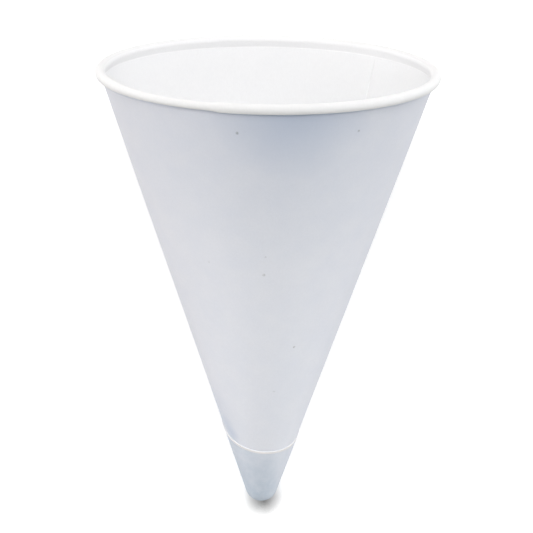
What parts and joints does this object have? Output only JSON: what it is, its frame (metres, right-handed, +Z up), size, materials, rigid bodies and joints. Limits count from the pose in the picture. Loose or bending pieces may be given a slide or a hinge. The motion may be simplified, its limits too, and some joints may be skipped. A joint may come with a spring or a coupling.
{
  "type": "cone paper cup",
  "caption": "Pointed cone cup wound from a sheet of white paper, with a lapped side seam, a closed blunt tip and a rim rolled outwards, lying on its side.",
  "frame": {"origin": "on the floor, under the middle of the lying cup's bounding box", "axes": "+Y from the tip towards the mouth along the floor, +Z up; the cup's own axis rises from the tip to the mouth at 19.1 degrees in the YZ plane, and the side with the cut end of the sheet across the tip faces up"},
  "size_m": [0.073, 0.1048, 0.0687],
  "materials": {
    "paper": "matt uncoated white paper, very slightly blue on the outside, with a few fine specks"
  },
  "bodies": {
    "root": {"cup": "paper"}
  },
  "joints": []
}
